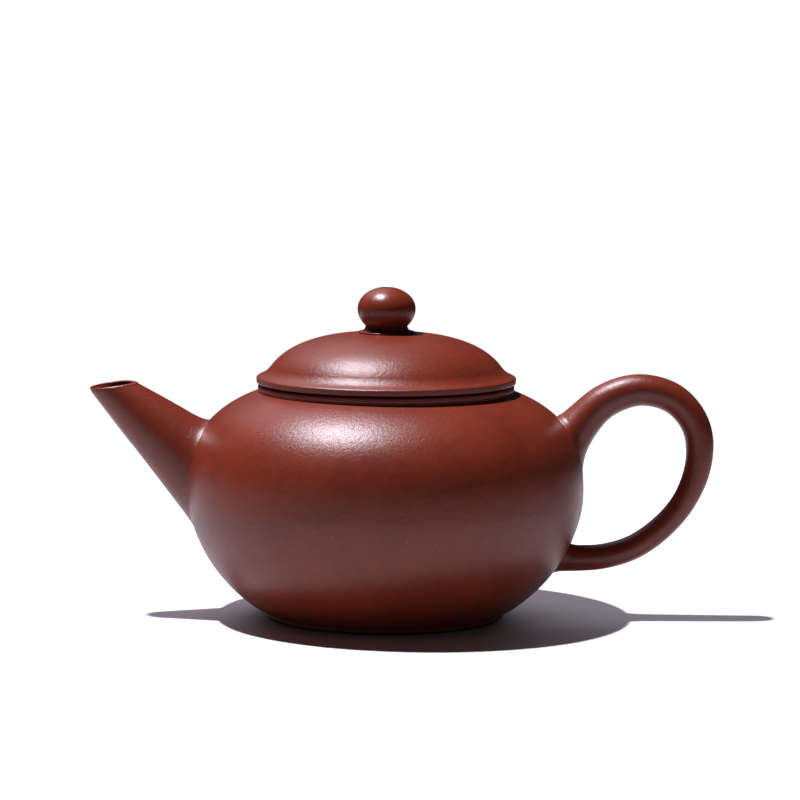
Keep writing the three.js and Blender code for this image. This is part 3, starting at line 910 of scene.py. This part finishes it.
def make_floor():
    """A pale disc. It throws less light at the pot than it shows, and far back it glows to white."""
    angle = np.linspace(0, TAU, 96, endpoint=False)
    corners = [(FLOOR_RADIUS * math.cos(a), FLOOR_RADIUS * math.sin(a), 0) for a in angle]
    mesh = bpy.data.meshes.new("floor")
    mesh.from_pydata(corners, [], [tuple(range(len(corners)))])
    floor = bpy.data.objects.new("floor", mesh)
    bpy.context.scene.collection.objects.link(floor)
    n = Nodes("floor_paper")
    place = n.place()
    shade = n.span(n.noise(place, 1.2), 0.3, 0.7)
    light_path = n.add("ShaderNodeLightPath")
    bounce, seen = n.blend(shade, *FLOOR_BOUNCE), n.blend(shade, *FLOOR_SEEN)
    tone = n.blend(light_path.outputs["Is Camera Ray"], bounce, seen)
    shader = n.principled(tone, 0.8)
    axes = n.add("ShaderNodeSeparateXYZ")
    n.link(place, axes.inputs[0])
    shader.inputs["Emission Color"].default_value = FLOOR_GLOW
    glow = n.span(axes.outputs["Y"], GLOW_START, GLOW_END, 0.0, GLOW_STRENGTH)
    n.link(glow, shader.inputs["Emission Strength"])
    mesh.materials.append(n.material)
    return floor


# The camera's place and what it looks at, in millimetres: sideways from the pot's axis, back and up.
CAMERA_SIDE = 2.67
CAMERA_BACK, CAMERA_HEIGHT = -650.3, 114.34
TARGET_HEIGHT = 41.52
CAMERA_LENS = 153.9
CAMERA_SENSOR = 36
CAMERA_ROLL = 0.00707


def make_camera():
    """A long lens square to the side of the pot, looking a little down at it."""
    data = bpy.data.cameras.new("camera")
    data.lens = CAMERA_LENS
    data.sensor_width = CAMERA_SENSOR
    camera = bpy.data.objects.new("camera", data)
    bpy.context.scene.collection.objects.link(camera)
    camera.location = Vector((AXIS_X + CAMERA_SIDE, CAMERA_BACK, CAMERA_HEIGHT)) * MM
    target = Vector((AXIS_X + CAMERA_SIDE, 0, TARGET_HEIGHT)) * MM
    facing = (target - camera.location).to_track_quat("-Z", "Y").to_matrix().to_4x4()
    roll = Matrix.Rotation(CAMERA_ROLL, 4, Vector((0, 0, 1)))
    camera.matrix_world = Matrix.Translation(camera.location) @ facing @ roll
    bpy.context.scene.camera = camera


# Lights in metres, from the pot's axis: place, height aimed at, width and depth, watts, colour.
LIGHTS = {
    "key": ((-0.380, 0.066, 1.340), 0.0, (0.045, 0.045), 31.0, (0.93, 0.91, 1.0)),
    "back_soft": ((-0.28, 0.67, 0.75), 0.03, (0.75, 0.7), 1.15, (0.90, 0.88, 1.0)),
    "floor_fill": ((0.0, 0.85, 0.33), 0.0, (1.3, 0.6), 3.7, (0.88, 0.86, 1.0)),
}
SKY_SEEN = (1, 1, 1, 1), 1.0
SKY_LIGHT = (0.90, 0.89, 1.0, 1), 0.02


def area_light(name, place, aim, size, power, colour):
    axis = AXIS_X * MM
    data = bpy.data.lights.new(name, "AREA")
    data.shape = "ELLIPSE"
    data.size, data.size_y = size
    data.energy = power
    data.color = colour
    light = bpy.data.objects.new(name, data)
    bpy.context.scene.collection.objects.link(light)
    start = Vector((axis + place[0], place[1], place[2]))
    light.location = start
    light.rotation_euler = (Vector((axis, 0, aim)) - start).to_track_quat("-Z", "Y").to_euler()
    return light


def make_lights(floor):
    """A small key from above, a soft light from behind, a fill for the floor only, and the sky."""
    lights = {name: area_light(name, *facts) for name, facts in LIGHTS.items()}
    lit = bpy.data.collections.new("floor_only")
    lit.objects.link(floor)
    lights["floor_fill"].light_linking.receiver_collection = lit
    world = bpy.data.worlds.new("studio")
    bpy.context.scene.world = world
    world.use_nodes = True
    tree = world.node_tree
    tree.nodes.clear()
    light_path = tree.nodes.new("ShaderNodeLightPath")
    pick = tree.nodes.new("ShaderNodeMixShader")
    tree.links.new(light_path.outputs["Is Camera Ray"], pick.inputs[0])
    for socket, (colour, strength) in zip(pick.inputs[1:], (SKY_LIGHT, SKY_SEEN)):
        sky = tree.nodes.new("ShaderNodeBackground")
        sky.inputs["Color"].default_value = colour
        sky.inputs["Strength"].default_value = strength
        tree.links.new(sky.outputs[0], socket)
    output = tree.nodes.new("ShaderNodeOutputWorld")
    tree.links.new(pick.outputs[0], output.inputs["Surface"])
    bpy.context.scene.view_settings.view_transform = "Standard"


make_camera()
make_body_wall()
make_base_disc()
make_mouth_disc()
make_foot_ring()
make_neck_ring()
make_spout()
make_strainer()
make_handle()
make_lid_rim()
make_lid_dome()
make_lid_wall()
make_knob_collar()
make_knob()
make_lights(make_floor())
